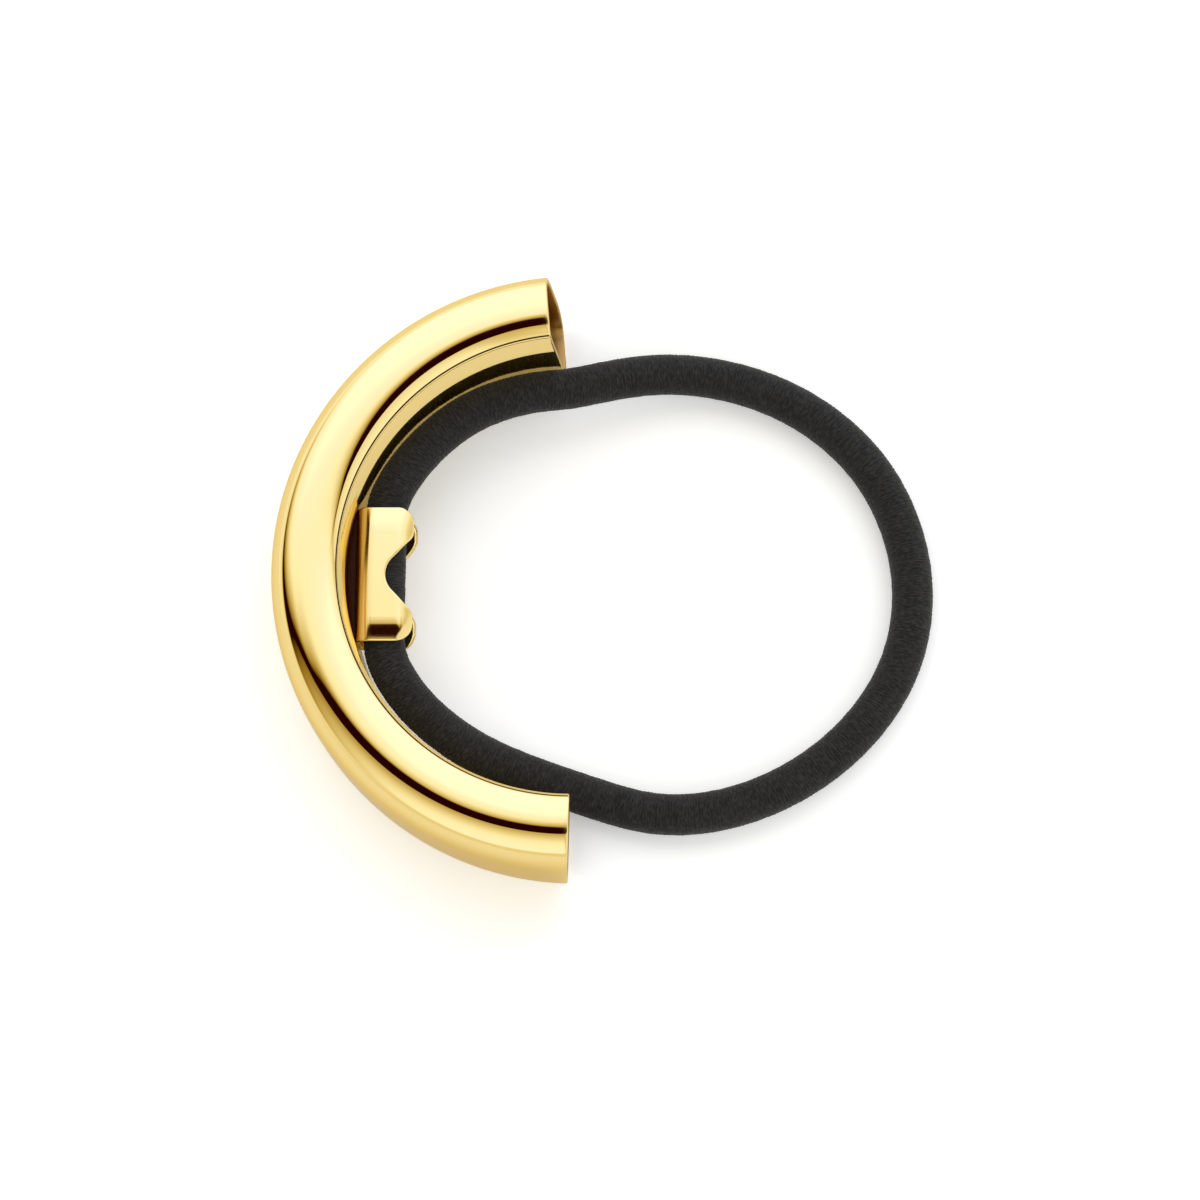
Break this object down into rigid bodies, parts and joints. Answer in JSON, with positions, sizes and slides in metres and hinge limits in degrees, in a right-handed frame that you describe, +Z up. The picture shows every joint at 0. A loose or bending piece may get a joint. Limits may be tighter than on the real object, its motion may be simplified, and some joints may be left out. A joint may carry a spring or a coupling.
{
  "type": "ponytail cuff",
  "caption": "Open C-shaped cuff of hollow polished tube with a clip on its inner face that holds the ends of a round elastic, worn round a ponytail.",
  "frame": {"origin": "on the ground below the middle of the metal cuff's own box; the cuff lies on its side", "axes": "+Z up, along the axis of the C and across the tube's width; +X from the closed back of the C out through its open side; +Y from the lower arm to the upper arm as seen from above"},
  "size_m": [0.0628, 0.0572, 0.0155],
  "materials": {
    "gold": "polished, pale gold plated",
    "elastic": "matte, woven over rubber"
  },
  "bodies": {
    "root": {"cuff": "gold", "elastic": "elastic"}
  },
  "joints": []
}
